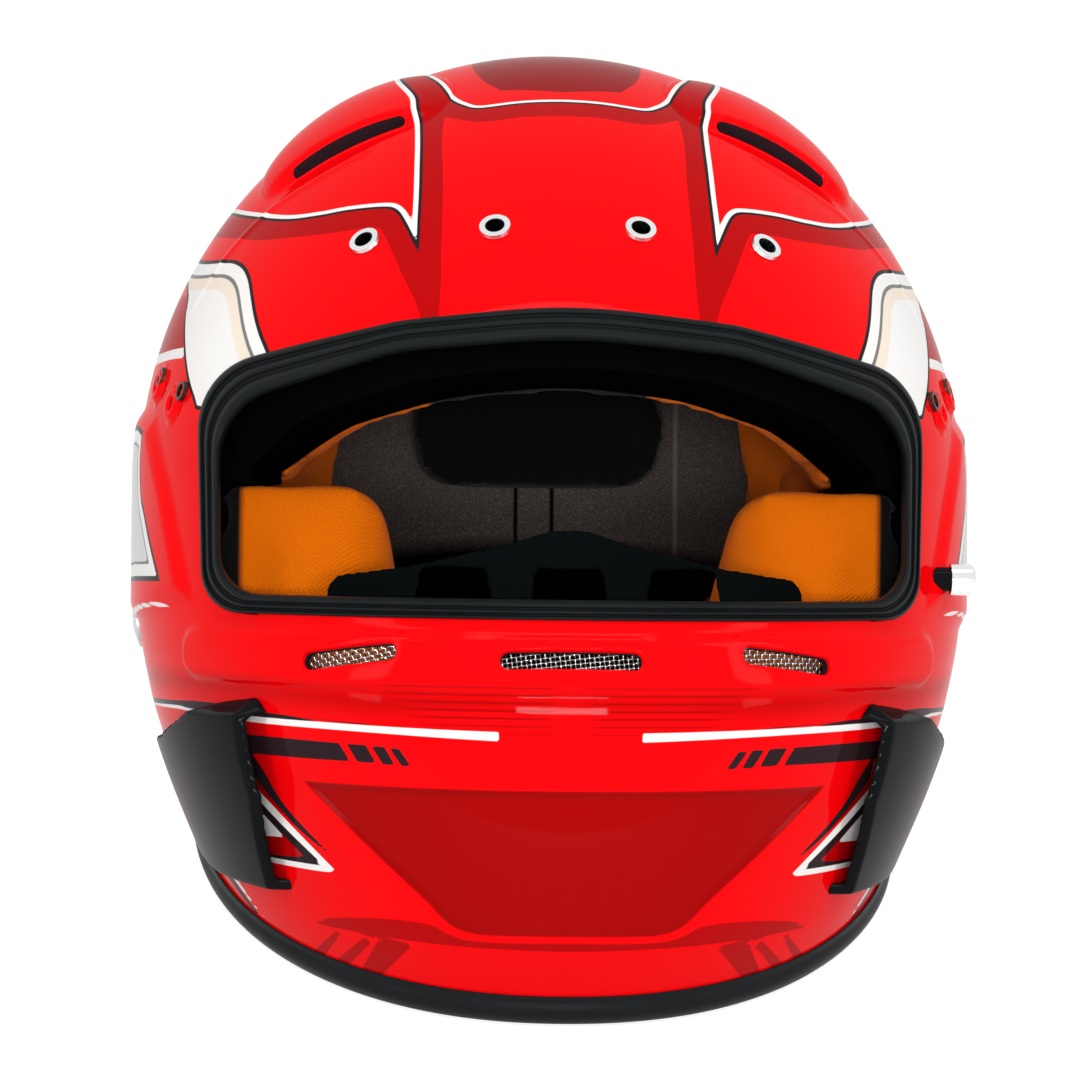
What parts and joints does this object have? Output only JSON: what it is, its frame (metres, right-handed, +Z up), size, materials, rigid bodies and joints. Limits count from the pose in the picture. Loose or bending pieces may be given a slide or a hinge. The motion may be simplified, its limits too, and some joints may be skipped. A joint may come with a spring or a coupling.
{
  "type": "auto racing helmet",
  "caption": "Full-face auto racing helmet, bare of its visor: painted shell, rubber edges, foam and fabric lining, chin straps with rings, side fins and vents.",
  "frame": {"origin": "on the surface it stands on, under the middle of its box", "axes": "-Y ahead through the eyeport, +X to the wearer's left, +Z up"},
  "size_m": [0.2594, 0.3434, 0.244],
  "materials": {
    "shell_paint": "gloss lacquer over composite shell",
    "trim_rubber": "satin",
    "gasket_rubber": "satin, ribbed",
    "foam": "moulded bead foam",
    "orange_fabric": "fine knit",
    "black_fabric": "knit mesh",
    "wire_mesh": "woven wire",
    "chrome": "polished",
    "gloss_black": "gloss",
    "matte_black": "matt",
    "steel": "zinc plated",
    "brass": "machined",
    "webbing": "woven webbing"
  },
  "bodies": {
    "root": {"outer_shell": "shell_paint", "eyeport_gasket": "gasket_rubber", "lower_trim": "trim_rubber", "eps_crown_liner": "foam", "eps_chin_liner": "foam", "chin_vent_mesh_left": "wire_mesh", "chin_vent_mesh_center": "wire_mesh", "chin_vent_mesh_right": "wire_mesh", "cheek_core_left": "foam", "cheek_core_right": "foam", "cheek_pad_left": "orange_fabric", "cheek_pad_right": "orange_fabric", "cheek_snaps": "matte_black", "comfort_liner": "orange_fabric", "crown_pad": "black_fabric", "nape_pad": "black_fabric", "neck_roll": "black_fabric", "breath_deflector": "matte_black", "side_deflector_left": "gloss_black", "side_deflector_right": "gloss_black", "brow_eyelets": "chrome", "visor_inserts": "brass", "shield_post_stem": "gloss_black", "shield_post_head": "chrome", "restraint_insert_left": "brass", "restraint_insert_right": "brass", "crown_vent_left": "matte_black", "crown_vent_right": "matte_black", "strap_bolt_left": "steel", "strap_bolt_right": "steel"},
    "ring_strap": {"strap_plate_left": "steel", "chin_strap_left": "webbing"},
    "tail_strap": {"strap_plate_right": "steel", "chin_strap_right": "webbing", "tail_snap": "matte_black"},
    "lower_ring": {"d_ring_lower": "steel"},
    "upper_ring": {"d_ring_upper": "steel"}
  },
  "joints": [
    {"name": "ring_strap_swing", "type": "hinge", "parent": "root", "child": "ring_strap", "pos_m": [0.12674, 0.00573, 0.06825], "axis": [0.9927, -0.0267, -0.1174], "range_deg": [-10, 10]},
    {"name": "tail_strap_swing", "type": "hinge", "parent": "root", "child": "tail_strap", "pos_m": [-0.12674, 0.00573, 0.06825], "axis": [-0.9927, -0.0267, -0.1174], "range_deg": [-10, 10]},
    {"name": "lower_ring_swing", "type": "hinge", "parent": "ring_strap", "child": "lower_ring", "pos_m": [0.0278, -0.0079, 0.01085], "axis": [0, 0.9729, -0.2311], "range_deg": [-70, 45]},
    {"name": "upper_ring_swing", "type": "hinge", "parent": "ring_strap", "child": "upper_ring", "pos_m": [0.0324, -0.0079, 0.01085], "axis": [0, 0.9729, -0.2311], "range_deg": [-8, 50]}
  ]
}
